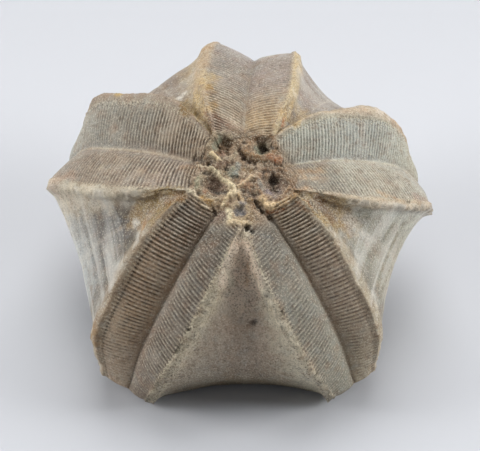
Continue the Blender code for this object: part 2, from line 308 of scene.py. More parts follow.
def addRay(skin, ray, apexes):
    steps = np.arange(ribs["count"] * mesh["rowsPerRib"] + 1) / mesh["rowsPerRib"]
    rows = np.interp(steps, ribCounts, ribShares)
    columns = np.array(mesh["rayColumns"])
    t, a = np.meshgrid(rows, np.concatenate((-columns[:0:-1], columns)), indexing="ij")
    off = abs(a)
    left = a >= 0

    def half(name, at):  # a setting of the half ray that each corner is in, along the ray
        pair = [between(halves[ray, side][name], at) for side in (-1, 1)]
        return np.where(left.reshape(left.shape + (1,) * (pair[0].ndim - 2)), pair[1], pair[0])

    def flat(name):
        return np.where(left, halves[ray, 1][name], halves[ray, -1][name])

    def paint(name):
        return np.where(left[..., None], linear(halves[ray, 1][name]), linear(halves[ray, -1][name]))

    moved = np.where(left, shift(ray, 1, off), shift(ray, -1, off))
    share = t + moved * eased(t)
    low = spline(grooveCurve(ray), share)
    high = np.where(left[..., None], spline(rimCurve(ray, 1), share), spline(rimCurve(ray, -1), share))
    form = low + (high - low) * off[..., None]
    up = np.cross(np.gradient(form, axis=0), high - low) * np.where(left, 1, -1)[..., None]
    up /= np.linalg.norm(up, axis=2, keepdims=True)
    swell = cup["bulge"] * 4 * off * (1 - off) + cup["lip"] * ramp(cup["lipFrom"] - 0.04, 1.0, off)
    form += up * swell[..., None]

    # ribs: round-backed, broken where they are worn
    jitter = lumps([(k, ray * 5.0, 0.0) for k in t[:, 0] * 30], 1.0, 2, 9)[:, None]
    wave = np.cos(2 * math.pi * (np.interp(share - moved, ribShares, ribCounts) + 0.10 * jitter))
    worn = lumps(form.reshape(-1, 3), ribs["wornSize"], 3, 1 + ray).reshape(t.shape)
    strength = half("ribs", t) * np.clip(1 - 0.7 * ramp(0.0, 0.6, worn), 0.2, 1.2)
    to = flat("to")
    line = flat("line")
    strength *= ramp(-0.05, 0.06, off - flat("from")) * (1 - ramp(to - 0.04, to + 0.03, off))
    strength *= 0.25 + 0.75 * ramp(0.0, 0.10, 1 - t)
    relief = ribs["height"] / 2 * wave * strength
    # gap marks the troughs between the ribs, where painted shade goes
    gap = ramp(-0.15, 0.95, -wave) * np.clip(strength, 0, 1.2)
    # back marks the backs of the ribs, where the painted highlight goes
    back = ramp(0.2, 0.95, wave) * np.clip(strength, 0, 1)

    # a row of pores past the rib ends, then small teeth, then the bare wall up to the crest
    vigour = 0.4 + 0.6 * np.clip(half("ribs", t), 0, 1)
    pore = bell(off - to - 0.03, ribs["poreWidth"]) * ramp(-0.3, 0.8, -wave) * ramp(0.0, 0.04, t)
    pore *= vigour * flat("pores")
    tooth = bell(off - to - 0.09, ribs["toothLength"]) * ramp(-0.2, 0.8, wave) * vigour
    relief += ribs["toothHeight"] * tooth - ribs["poreDepth"] * pore
    wall = ramp(to + 0.07, to + 0.12, off)

    # food groove: a channel, or a fine raised line between two channels; some halves have a seam midway
    relief += ribs["lineHeight"] * line * bell(off, ribs["lineWidth"])
    channel = 0.4 * line * bell(off - 0.065, 0.03) + (1 - line) * 0.5 * bell(off, 0.05)
    relief -= ribs["grooveDepth"] * channel
    seam = bell(off - ribs["seamAt"] - 0.04 * jitter, ribs["seamWidth"])
    seam = flat("seam") * seam * (1 - ramp(0.5, 0.7, t))
    relief += ribs["seamHeight"] * seam
    relief -= crest["round"] * bell(1 - off, 0.035)
    edge = bell(1 - off, crest["width"])

    tones = half("tones", t)
    tones = tones + (paint("wall") - tones) * (0.85 * wall * (1 - edge))[..., None]
    tones = tones + (paint("crest") - tones) * (0.85 * edge)[..., None]
    tones = blend(tones, ribs["paleTone"], 0.7 * line * bell(off, 0.02) + 0.5 * seam + 0.6 * tooth)
    # painted shadow beside the raised line, and painted shade down a plain groove
    tones = blend(tones, ribs["channelShadowTone"], 0.45 * line * bell(off - 0.07, 0.035))
    tones = blend(tones, ribs["grooveShadeTone"], 0.35 * (1 - line) * bell(off, 0.06))
    # painted shade along the pore row
    tones = blend(tones, ribs["poreShadeTone"], 0.5 * flat("pores") * bell(off - to - 0.04, 0.035))
    index = skin.add(form, tones, relief=relief, gap=gap, back=back, pore=pore, crest=edge,
                     grain=flat("grit") * bell(off - to - 0.06, 0.09),
                     across=a * cup["halfWidth"], along=t * cup["rayLength"]).reshape(t.shape)
    index[0, 0] = apexes[(ray - 1) % 5]
    index[0, -1] = apexes[ray]
    skin.grid(index)
    # how far the swell lifts both rims, for the plates to follow
    proud = {-1: form[:, 0] - spline(rimCurve(ray, -1), share[:, 0]),
             1: form[:, -1] - spline(rimCurve(ray, 1), share[:, -1])}
    return index, proud, rows


hollows = {  # the plate after each ray, counter-clockwise
    # its colour at the mouth, midway and below, beside this ray and beside the next, and on the summit
    # plate; how wide the rim's colour reaches in mm; sandy part, pale streaks and pale band; how full the
    # shoulder is beside this ray and beside the next
    0: {"tones": ("40505e", "958a81", "9d9b97"), "flanks": ("5c5d55", "8c7c72"), "deltoid": "a58a5e",
        "margin": 0.70, "sand": 0.2, "streaks": 0.5, "band": 0.3, "shoulders": (1.0, 1.0)},
    1: {"tones": ("ae9d72", "867464", "6c635d"), "flanks": ("c0ab85", "554533"), "deltoid": "a08552",
        "margin": 0.70, "sand": 0.2, "streaks": 0.3, "band": 0.3, "shoulders": (1.0, 1.0)},
    2: {"tones": ("42341b", "45413c", "d6dad7"), "flanks": ("dacaae", "554832"), "deltoid": "8f6d2b",
        "margin": 0.80, "sand": 0.2, "streaks": 0.9, "band": 0.8, "shoulders": (1.8, 0.8)},
    3: {"tones": ("dad4ba", "bfab96", "726347"), "flanks": ("b5a893", "d9d1b7"), "deltoid": "d9c2ac",
        "margin": 1.00, "sand": 0.8, "streaks": 0.0, "band": 0.1, "shoulders": (1.9, 1.9)},
    4: {"tones": ("68563b", "878472", "c6c1ae"), "flanks": ("625c4f", "d8dacb"), "deltoid": "9c7a33",
        "margin": 0.80, "sand": 0.4, "streaks": 1.0, "band": 0.8, "shoulders": (0.8, 1.8)},
}

plates = {
    "shoulder": 0.17,     # mm, a swelling along the rims, and how far in it runs and how wide it is
    "shoulderAt": 0.40,
    "shoulderWidth": 0.36,
    "sandHeight": 0.05,
    "sutureDepth": 0.04,
    "sutureWidth": 0.08,
    "deltoidAt": 0.20,    # share of the rim where the suture of the summit plate starts
    "deltoidTo": 0.37,    # and where its two arms meet
    "bandTone": "d3cfc4",
    "sutureTone": "c9bfae",
    "apexTone": "a08c70",
}


def addHollow(skin, ray, rays):
    here, proudHere, rows = rays[ray]
    after, proudAfter, rows = rays[(ray + 1) % 5]
    tone = hollows[ray]
    step = mesh["rowsPerPlateRow"]
    u = np.linspace(-1, 1, mesh["hollowColumns"] + 1)[1:-1]
    t, x = np.meshgrid(rows[step::step], 0.7 * u + 0.3 * np.sin(u * math.pi / 2), indexing="ij")
    toAfter = (x + 1) / 2
    share = t + eased(t) * (shift(ray, 1, 1.0) * (1 - toAfter) + shift((ray + 1) % 5, -1, 1.0) * toAfter)
    rimHere = spline(rimCurve(ray, 1), share)
    rimAfter = spline(rimCurve((ray + 1) % 5, -1), share)
    middle = spline(hollowCurve(ray), share)
    form = rimHere + (rimAfter - rimHere) * toAfter[..., None]
    form += (middle - (rimHere + rimAfter) / 2) * (1 - x * x)[..., None]
    form += ramp(0.80, 1.0, -x)[..., None] * proudHere[1][step::step][:, None]
    form += ramp(0.80, 1.0, x)[..., None] * proudAfter[-1][step::step][:, None]

    # sutures: one down the middle, and a pointed one round the plate at the summit
    wide = np.linalg.norm(rimAfter - rimHere, axis=2) / 2
    arm = t - plates["deltoidTo"] + (plates["deltoidTo"] - plates["deltoidAt"]) * abs(x)
    deltoid = 1 - ramp(-0.02, 0.02, arm)
    suture = 0.7 * bell(arm * cup["rayLength"], plates["sutureWidth"])
    suture = suture + (1 - deltoid) * bell(x * wide, plates["sutureWidth"])
    relief = -plates["sutureDepth"] * suture
    points = form.reshape(-1, 3)
    sand = tone["sand"] * ramp(0.35, 0.8, t)
    relief += plates["sandHeight"] * (deltoid + sand) * lumps(points, 0.5, 2, 20 + ray).reshape(t.shape)
    inward = (1 - abs(x)) * wide
    edge = bell(inward, 0.35)
    cloud = lumps(points, 1.6, 3, 26 + ray).reshape(t.shape)
    rag = lumps(points, 0.6, 3, 33 + ray).reshape(t.shape)
    shoulder = plates["shoulder"] * np.where(x < 0, tone["shoulders"][0], tone["shoulders"][1])
    shoulder = shoulder * (1 + 0.7 * cloud + 0.7 * rag)
    relief += shoulder * bell(inward - plates["shoulderAt"], plates["shoulderWidth"]) * ramp(0.06, 0.22, t)
    tones = between(tone["tones"], t)
    tones = blend(tones, tone["flanks"][0], 0.8 * ramp(0.25, 0.85, -x + 0.2 * rag))
    tones = blend(tones, tone["flanks"][1], 0.8 * ramp(0.25, 0.85, x + 0.2 * rag))
    ochre = 0.9 * (1 - ramp(-0.03, 0.03, arm + 0.06 * rag)) * ramp(-0.9, 0.0, cloud)
    tones = blend(tones, tone["deltoid"], ochre)
    band = tone["band"] * bell(inward - 0.9, 0.6) * ramp(-0.3, 0.4, cloud) * ramp(0.1, 0.3, t)
    tones = blend(tones, plates["bandTone"], band)
    sides = np.where((x < 0)[..., None], linear(halves[ray, 1]["crest"]),
                     linear(halves[(ray + 1) % 5, -1]["crest"]))
    margin = (1 - ramp(0.5, 1.5, inward / tone["margin"] + 0.35 * rag)) * (1 - 0.75 * deltoid)
    tones = tones + (sides - tones) * (0.75 * margin)[..., None]
    tones = blend(tones, plates["sutureTone"], 0.35 * suture)
    index = skin.add(form, tones, relief=relief, plate=1 - edge, crest=edge, across=x * wide,
                     along=t * cup["rayLength"],
                     grain=0.6 * deltoid + 0.6 * sand + tone["sand"] * (0.25 + 0.6 * margin),
                     streaks=tone["streaks"] * (1 - deltoid)).reshape(t.shape)
    apex = here[0, -1]
    skin.grid(index)
    skin.stitch(here[:, -1], [apex] + list(index[:, 0]))
    skin.stitch(after[:, 0], [apex] + list(index[:, -1]))
    skin.stitch([apex], index[0])
    return [here[-1, -1]] + list(index[-1]) + [after[-1, 0]]


def addSummit(skin, rays):
    ring = [k for index, proud, rows in rays for k in index[0][:-1]]
    edge = np.vstack(skin.points)[ring]
    turn = np.arctan2(edge[:, 1], edge[:, 0])
    order = np.argsort(turn)
    turns = np.concatenate((turn[order] - 2 * math.pi, turn[order], turn[order] + 2 * math.pi))
    reach = np.tile(np.hypot(edge[order, 0], edge[order, 1]), 3)
    level = np.tile(edge[order, 2], 3)
    rings = round(reach.mean() / mesh["summitStep"])
    plain = linear(summit["tones"][0])
    for step in range(1, rings):
        share = 1 - step / rings
        count = max(8, round(2 * math.pi * reach.mean() * share / mesh["summitStep"]))
        azimuth = turn[0] + 2 * math.pi * np.arange(count) / count
        azimuth = (azimuth + math.pi) % (2 * math.pi) - math.pi
        out = np.interp(azimuth, turns, reach) * share
        height = cup["summitLevel"] + (np.interp(azimuth, turns, level) - cup["summitLevel"]) * share ** 2
        inner = skin.add(np.stack((out * np.cos(azimuth), out * np.sin(azimuth), height), -1), plain)
        skin.stitch(list(ring) + [ring[0]], list(inner) + [inner[0]])
        ring = inner
    skin.stitch(list(ring) + [ring[0]], skin.add([(0.0, 0.0, cup["summitLevel"])], plain))


underside = {
    "tone": "8b8072",
    "stemTone": "7c7163",
    "grit": 0.4,
}


def addUnderside(skin, rays, margins):
    ring = []
    keel = []
    for ray in range(5):
        tip = list(rays[ray][0][-1])
        margin = margins[ray]
        ring += tip[:-1] + margin[:-1]
        keel += [1.0] * (len(tip) - 1)
        keel += list(np.linspace(-1, 1, len(margin))[:-1] ** 2)
    edge = np.vstack(skin.points)[ring]
    hue = np.vstack(skin.tones)[ring]
    keel = np.array(keel)[:, None]
    out = np.hypot(edge[:, 0], edge[:, 1])[:, None]
    ahead = edge[:, :2] / out
    start = np.hstack((out, edge[:, 2:]))
    lip = cup["faceLip"] + (cup["keelLip"] - cup["faceLip"]) * keel
    below = start - np.hstack((cup["lipInset"] + 0 * lip, lip))
    bend = np.array(cup["faceBend"]) * (1 - keel) + np.array(cup["keelBend"]) * keel
    end = np.array(cup["stemJoin"])
    for share in np.linspace(0, 1, mesh["underRings"] + 1)[1:] ** 1.3:
        rest = 1 - share
        where = start * rest ** 3 + below * 3 * rest ** 2 * share
        where = where + bend * 3 * rest * share ** 2 + end * share ** 3
        tones = blend(hue, underside["tone"], np.full(len(hue), ramp(0.0, 0.25, share)))
        under = ramp(0.0, 0.12, share)
        inner = skin.add(np.hstack((ahead * where[:, :1], where[:, 1:])), tones, base=under, plate=0.5,
                         grain=underside["grit"] * under, crest=0.4 * bell(share, 0.05))
        skin.grid(np.vstack((list(ring) + [ring[0]], list(inner) + [inner[0]])))
        ring = inner
    for share in np.linspace(0, 1, mesh["stemRings"] + 1)[1:]:
        radius, height = spline(np.array((cup["stemJoin"],) + cup["stem"]), np.array(share))
        inner = skin.add(np.hstack((ahead * radius, height + 0 * out)), linear(underside["stemTone"]),
                         base=1.0, grain=underside["grit"])
        skin.grid(np.vstack((list(ring) + [ring[0]], list(inner) + [inner[0]])))
        ring = inner
    skin.faces.append(tuple(int(k) for k in ring))


bowls = (  # mm: the spiracles, with the height of their collars and the colours of floor and collar
    {"at": (-1.55, 2.75), "radius": 1.00, "depth": 0.50, "collar": 0.15,
     "ragged": 0.20, "tones": ("7b6043", "948466")},
    {"at": (1.70, 2.85), "radius": 0.95, "depth": 0.35, "collar": 0.12,
     "ragged": 0.20, "tones": ("7d7156", "94714a")},
    {"at": (2.80, -0.60), "radius": 1.20, "depth": 0.45, "collar": 0.08,
     "ragged": 0.30, "tones": ("776051", "8d6742")},
    {"at": (0.00, -3.15), "radius": 0.62, "depth": 0.20, "collar": 0.14,
     "ragged": 0.15, "tones": ("80848a", "b29c77")},
    {"at": (-2.15, -0.70), "radius": 1.10, "depth": 0.50, "collar": 0.12,
     "ragged": 0.20, "tones": ("6e5546", "948464")},
)

marks = (  # mm: what lies in and round the bowls; from, to, radius, height (below 0 a pit or a crack), colour; the near-black colours of the deepest pits and cracks are painted shade over brown clay
    # round the back left bowl
    ((-1.70, 3.50), (-1.00, 3.30), 0.34, -0.12, "4b3209"),
    ((-2.35, 2.70), (-1.90, 3.60), 0.24, 0.05, "898f79"),
    ((-2.50, 2.15), (-1.75, 1.45), 0.16, 0.18, "f2d9a8"),
    ((-1.60, 2.25), (-1.60, 2.25), 0.36, 0.22, "8e674f"),
    ((-1.25, 2.75), (-1.00, 2.20), 0.11, -0.12, "4c321b"),
    ((-0.60, 3.70), (-0.25, 2.60), 0.20, -0.14, "4f3514"),
    ((-0.20, 2.60), (0.10, 1.90), 0.18, -0.20, "4a3015"),
    ((-1.90, 1.15), (-1.20, 1.40), 0.28, 0.05, "86664d"),
    # round the back right bowl
    ((1.80, 2.80), (1.85, 2.75), 0.42, -0.50, "2b1b10"),
    ((0.60, 3.70), (1.90, 3.70), 0.28, -0.05, "533509"),
    ((1.20, 2.90), (1.65, 2.30), 0.18, 0.05, "8d937e"),
    ((0.40, 2.30), (1.60, 2.00), 0.22, 0.14, "8c6a40"),
    ((0.20, 1.80), (1.20, 1.35), 0.20, -0.22, "3f280f"),
    ((1.20, 1.55), (2.00, 1.45), 0.15, -0.12, "533a0f"),
    ((2.30, 1.90), (3.20, 1.70), 0.34, 0.16, "a9744c"),
    ((2.80, 1.60), (2.80, 1.60), 0.15, 0.00, "b26123"),
    ((2.60, 2.85), (3.00, 2.60), 0.14, -0.16, "2e1c0f"),
    # round the right bowl
    ((2.65, 0.10), (2.75, 0.05), 0.46, -0.50, "221a16"),
    ((1.90, 0.55), (3.40, 0.75), 0.21, -0.16, "3a2513"),
    ((3.40, 0.60), (4.00, 0.20), 0.19, -0.10, "4c3215"),
    ((2.65, -0.50), (2.80, -1.00), 0.12, -0.16, "302017"),
    ((2.35, -1.20), (2.35, -1.20), 0.34, 0.12, "867b86"),
    ((3.20, -1.00), (3.20, -1.10), 0.30, 0.10, "7e716a"),
    ((2.90, -1.70), (2.90, -1.70), 0.30, 0.08, "8d7a6f"),
    ((1.50, -0.40), (1.80, -0.90), 0.24, 0.10, "8b8a83"),
    ((1.75, -1.90), (2.50, -2.55), 0.32, 0.22, "e9c996"),
    ((2.50, -2.55), (3.70, -2.30), 0.32, 0.20, "edcc99"),
    ((3.70, -2.30), (4.50, -1.60), 0.28, 0.12, "b38d58"),
    ((2.30, -3.00), (3.60, -2.80), 0.12, -0.06, "a35f24"),
    # round the front bowl and its plug
    ((-0.95, -3.10), (-0.85, -4.00), 0.28, 0.12, "f4e6be"),
    ((-0.80, -4.25), (0.90, -4.25), 0.28, 0.12, "dec69d"),
    ((0.95, -3.00), (1.10, -3.90), 0.24, 0.05, "8f724c"),
    ((0.85, -2.05), (0.85, -2.05), 0.34, 0.25, "7a5a26"),
    ((-1.05, -2.60), (-1.05, -2.60), 0.28, 0.15, "7a6037"),
    ((0.00, -2.35), (0.30, -2.45), 0.20, 0.05, "877d78"),
    ((0.50, -4.75), (0.60, -4.75), 0.26, -0.45, "120b06"),
    ((1.00, -4.95), (1.00, -4.95), 0.18, -0.30, "1c130b"),
    ((1.25, -2.10), (1.90, -3.00), 0.16, -0.26, "352313"),
    ((1.90, -3.00), (2.50, -3.50), 0.19, -0.16, "4d3721"),
    ((-2.10, -3.10), (-2.10, -3.10), 0.18, -0.20, "332214"),
    ((-2.00, -3.70), (-1.40, -3.40), 0.40, 0.00, "7b6254"),
    # round the left bowl
    ((-2.00, -1.30), (-1.20, -1.35), 0.19, -0.15, "3f362f"),
    ((-3.10, 0.40), (-2.70, 0.30), 0.22, -0.26, "301e05"),
    ((-2.95, -0.20), (-2.95, -0.70), 0.18, -0.10, "5c3e11"),
    ((-3.00, -1.35), (-3.00, -1.40), 0.17, 0.00, "8f5522"),
    ((-3.60, -0.20), (-3.70, -1.00), 0.28, 0.10, "8d896b"),
    ((-4.40, -1.30), (-3.90, -1.40), 0.15, 0.10, "eddfbf"),
    ((-4.00, -1.50), (-2.80, -2.80), 0.14, 0.16, "e6d4b3"),
    ((-3.20, -2.10), (-2.50, -2.40), 0.34, 0.10, "b08847"),
    ((-2.20, -2.50), (-1.00, -1.80), 0.24, 0.10, "ad916d"),
    ((-3.90, 1.90), (-3.40, 1.65), 0.16, -0.16, "4a2f19"),
    ((-2.75, 1.20), (-2.75, 1.20), 0.17, -0.26, "1d1309"),
    ((-5.00, 1.00), (-3.30, 0.90), 0.28, 0.04, "ab8b6b"),
    # the mouth and the star of ridges in front of it
    ((-0.70, 0.50), (-0.65, 0.55), 0.50, 0.00, "7d8474"),
    ((-0.25, 1.20), (-0.40, 0.30), 0.24, 0.10, "838a81"),
    ((-0.60, 0.90), (-0.60, 0.90), 0.18, 0.12, "a3a385"),
    ((-1.25, 0.75), (-1.20, 0.75), 0.19, -0.16, "3d392c"),
    ((-0.90, 1.10), (-0.90, 1.10), 0.14, -0.12, "4a3e2d"),
    ((-0.30, 0.05), (-0.30, 0.05), 0.12, -0.15, "3e4440"),
    ((0.30, 0.75), (0.80, 0.60), 0.28, -0.03, "7c5816"),
    ((0.20, -0.50), (0.70, -0.90), 0.34, 0.05, "af8662"),
    ((0.60, -1.25), (1.10, -1.60), 0.26, -0.13, "554338"),
    ((-0.65, -1.20), (-0.45, -1.45), 0.42, 0.24, "f5e1b9"),
    ((-3.60, 1.15), (-2.60, 0.85), 0.12, 0.15, "e1ceae"),
    ((-2.50, 0.80), (-0.70, -0.90), 0.20, 0.30, "f5e4b9"),
    ((-1.90, 0.45), (-0.80, -0.60), 0.05, -0.10, "6a553a"),
    ((-0.30, -0.90), (0.90, 0.10), 0.16, 0.22, "e9c99d"),
    ((-0.80, -1.40), (-1.50, -2.60), 0.19, 0.22, "f0d9ac"),
    ((-0.30, -1.50), (0.25, -2.10), 0.15, 0.12, "d0b184"),
)

summit = {
    "reach": 5.4,  # mm
    "rough": 0.11,
    "roughSize": 0.34,
    "grit": 0.055,
    "gritSize": 0.18,
    "bend": 0.12,  # how far the forms are bent out of round
    "ragged": 0.30,
    "calm": 0.8,  # how much less its stone is mottled
    # plain stone, brown patches, and a dark brown laid into the dips of the rough relief as painted shade
    "tones": ("9f866a", "70522d", "3a2511"),
}


def toSegment(points, start, end):  # distance to a line between two points
    start = np.array(start)
    along = np.array(end) - start
    share = np.clip((points - start) @ along / max(along @ along, 1e-9), 0, 1)
    return np.linalg.norm(points - start - share[:, None] * along, axis=1)


def dressSummit(points, tones):  # height and colour of the spiracles, the mouth and the ridges
    place = points[:, :2]
    out = np.hypot(place[:, 0], place[:, 1])
    edge = 1 - ramp(summit["reach"] - 1.6, summit["reach"], out)
    flat = np.hstack((place, 0 * place[:, :1]))
    rag = lumps(flat, 0.55, 2, 30)
    rough = lumps(flat, summit["roughSize"], 3, 31)
    grit = lumps(flat, summit["gritSize"], 2, 34)
    height = (summit["rough"] * rough + summit["grit"] * grit) * edge
    bent = [lumps(flat, 0.45, 3, seed) for seed in (35, 36)]
    place = place + summit["bend"] * np.stack(bent, -1)
    cloud = lumps(flat, 0.8, 3, 32)
    tones = blend(tones, summit["tones"][0], 0.85 * edge)
    tones = blend(tones, summit["tones"][1], 0.8 * edge * ramp(0.0, 0.5, cloud))
    # painted shade: the dark tone goes into the dips of the rough relief
    tones = blend(tones, summit["tones"][2], 0.85 * edge * ramp(0.05, 0.5, -rough))
    for bowl in bowls:
        away = np.hypot(place[:, 0] - bowl["at"][0], place[:, 1] - bowl["at"][1])
        away = away / (1 + bowl["ragged"] * rag)
        collar = bell(away - 1.2 * bowl["radius"], 0.25)
        inside = 1 - ramp(0.35 * bowl["radius"], 1.05 * bowl["radius"], away)
        height += bowl["collar"] * collar - bowl["depth"] * inside
        tones = blend(tones, bowl["tones"][1], 0.7 * collar)
        tones = blend(tones, bowl["tones"][0], 0.8 * inside)
    for start, end, radius, rise, code in marks:
        away = toSegment(place, start, end) / (radius * (1 + summit["ragged"] * rag))
        much = 1 - ramp(0.30, 1.45, away)
        height += rise * much
        tones = blend(tones, code, 0.9 * much * (1 - 0.5 * ramp(0.0, 0.5, -grit)))
    return height, tones, 0.7 * edge


stains = (  # from, to, radius in mm, colour, how much; rust and clay that settled, pale bruises, and painted light on the front plate's apex
    ((-4.9, 6.6, -0.7), (-4.5, 6.2, -0.7), 0.55, "85662c", 0.90),
    ((-4.2, 6.9, -1.4), (-3.0, 10.6, -2.4), 0.90, "c3a876", 0.75),
    ((-2.8, 6.4, -0.8), (-3.1, 9.0, -1.7), 0.55, "b98f45", 0.60),
    ((-5.4, -1.6, -0.9), (-8.0, -2.4, -2.4), 1.10, "8d7238", 0.90),
    ((-5.0, -1.9, -0.5), (-6.3, -2.4, -1.2), 0.60, "80550d", 0.95),
    ((-6.2, -2.9, -1.2), (-7.5, -3.8, -1.8), 0.40, "8c7238", 0.80),
    ((-8.0, -3.5, -2.3), (-8.2, -4.2, -2.2), 0.35, "ac7730", 0.85),
    ((-8.8, -3.0, -3.1), (-8.7, -3.2, -3.0), 0.30, "e4dfd2", 0.90),
    ((4.9, -2.6, -0.6), (5.5, -2.6, -0.9), 0.55, "86550f", 0.95),
    ((6.4, -1.8, -1.5), (7.3, -2.6, -2.2), 0.80, "704c10", 0.95),
    ((4.6, -1.3, -0.2), (6.2, -1.2, -0.9), 0.42, "cda67d", 0.70),
    ((9.0, -2.4, -3.2), (10.4, -3.4, -4.3), 0.80, "c9c4b8", 0.60),
    ((3.2, 5.0, -0.8), (3.3, 5.4, -0.8), 0.45, "ad6a26", 0.85),
    ((1.2, -11.5, -4.4), (1.4, -11.4, -4.3), 0.26, "33281f", 0.90),
    ((3.4, 6.0, -0.7), (3.7, 7.4, -1.2), 0.50, "b08b4e", 0.75),
    ((4.4, 5.2, -0.6), (4.0, 7.5, -1.4), 0.60, "cdb07c", 0.70),
    ((-0.9, 4.7, -0.5), (-2.5, 5.4, -0.5), 0.80, "7a5440", 0.70),
    ((0.9, 4.6, -0.5), (2.4, 4.5, -0.4), 0.55, "8f7046", 0.55),
    # the pinkish stone of the front plate's apex, made paler as painted light against the shade of its hollow
    ((0.5, -5.4, -0.5), (0.5, -6.1, -1.0), 0.55, "c9b696", 0.80),
    ((0.4, -6.4, -1.2), (0.2, -8.4, -2.6), 0.75, "d8bda4", 0.75),
    ((0.9, -7.6, -2.0), (0.7, -8.8, -2.9), 0.30, "ab8258", 0.50),
    ((4.6, 0.6, -0.4), (6.8, 1.2, -0.9), 0.45, "b98f5f", 0.55),
    ((-11.0, 9.9, -4.6), (-10.2, 9.9, -4.2), 0.35, "c6a560", 0.75),
    ((-7.0, 8.8, -2.6), (-9.4, 9.3, -3.6), 0.40, "8c7564", 0.55),
    ((-16.2, 1.6, -6.3), (-14.8, 2.2, -5.2), 0.70, "b79d88", 0.70),
    ((15.0, 0.9, -5.0), (16.0, 0.9, -6.6), 0.70, "a08a7c", 0.65),
    ((12.8, 7.9, -5.5), (14.0, 7.8, -8.0), 0.50, "b8977a", 0.50),
    ((11.0, 8.3, -4.2), (12.2, 8.3, -5.2), 0.40, "ddd6cb", 0.60),
    ((-12.2, -10.4, -5.6), (-11.8, -12.2, -7.6), 0.55, "9b7a4d", 0.70),
    ((4.9, 0.1, -0.2), (14.0, 0.0, -4.0), 0.25, "cfa97c", 0.50),
    ((-5.5, 9.1, -4.0), (-4.9, 9.6, -3.8), 0.28, "e2ddd2", 0.85),
)

swells = (  # middle, radius and height in mm, below 0 for a dent
    ((-5.9, 12.0, -6.6), 2.8, 0.75),
    ((-3.0, 15.6, -6.2), 1.6, 0.25),
    ((4.2, 15.9, -7.4), 2.2, -0.45),
    ((10.7, 8.0, -4.0), 2.4, 0.70),
    ((-16.5, 2.2, -7.0), 2.0, 0.25),
    ((1.2, -11.5, -4.4), 0.30, -0.45),
    ((-10.0, 5.8, -4.0), 0.50, -0.12),
)

fills = (  # middle, radius and height in mm of the clay and crystal that stand in the folds round the mouth
    ((3.6, 5.0, -1.2), 1.0, 0.75),
    ((4.6, 6.4, -2.4), 1.3, 0.45),
    ((-3.5, 5.3, -1.3), 1.0, 0.75),
    ((-4.5, 6.8, -2.5), 1.3, 0.45),
    ((-5.8, -1.9, -1.2), 1.1, 0.70),
    ((-7.4, -2.4, -2.2), 1.6, 0.75),
    ((5.7, -1.7, -1.1), 1.1, 0.70),
    ((7.2, -2.1, -2.1), 1.6, 0.75),
    ((0.3, -6.3, -1.3), 1.5, 0.90),
    ((0.3, -8.2, -2.4), 1.8, 0.65),
)

wear = {  # mm
    "swing": (4.0, 0.09),   # size and height of the slow unevenness
    "ripple": (1.0, 0.03),  # and of the fine one
    "stainEdge": 0.7,       # size of the frays along a stain's edge
}


def wornSkin(skin, facing):  # moves each corner out by its relief, adds wear and stains
    points = np.vstack(skin.points)
    tones = np.vstack(skin.tones)
    read = {name: np.concatenate(skin.values[name]) for name in layers}
    near = np.hypot(points[:, 0], points[:, 1]) < summit["reach"]
    near &= points[:, 2] > -4
    chips = ramp(0.1, 0.6, lumps(points, crest["chipSize"], 3, 40)) * read["crest"]
    height = read["relief"] - crest["chips"] * chips
    height += crest["wobble"] * lumps(points, crest["wobbleSize"], 2, 43) * read["crest"]
    height += wear["swing"][1] * lumps(points, wear["swing"][0], 2, 41)
    ripple = lumps(points, wear["ripple"][0], 3, 42) * (0.3 + read["plate"] + read["base"])
    height += wear["ripple"][1] * ripple
    rag = lumps(points, wear["stainEdge"], 3, 44)
    for start, end, radius, code, much in stains:
        away = toSegment(points, start, end) / radius + 0.7 * rag
        tones = blend(tones, code, much * (1 - ramp(0.45, 1.25, away)))
    for middle, radius, rise in swells:
        height += rise * bell(np.linalg.norm(points - np.array(middle), axis=1), radius)
    lift = np.zeros(len(points))
    for middle, radius, rise in fills:
        lift += rise * bell(np.linalg.norm(points - np.array(middle), axis=1), radius)
    more, dressed, grain = dressSummit(points[near], tones[near])
    height[near] += more
    tones[near] = dressed
    read["grain"][near] = np.maximum(read["grain"][near], grain)
    read["calm"][near] = summit["calm"] * grain
    return points + facing * height[:, None] + np.outer(lift, (0, 0, 1)), tones, read


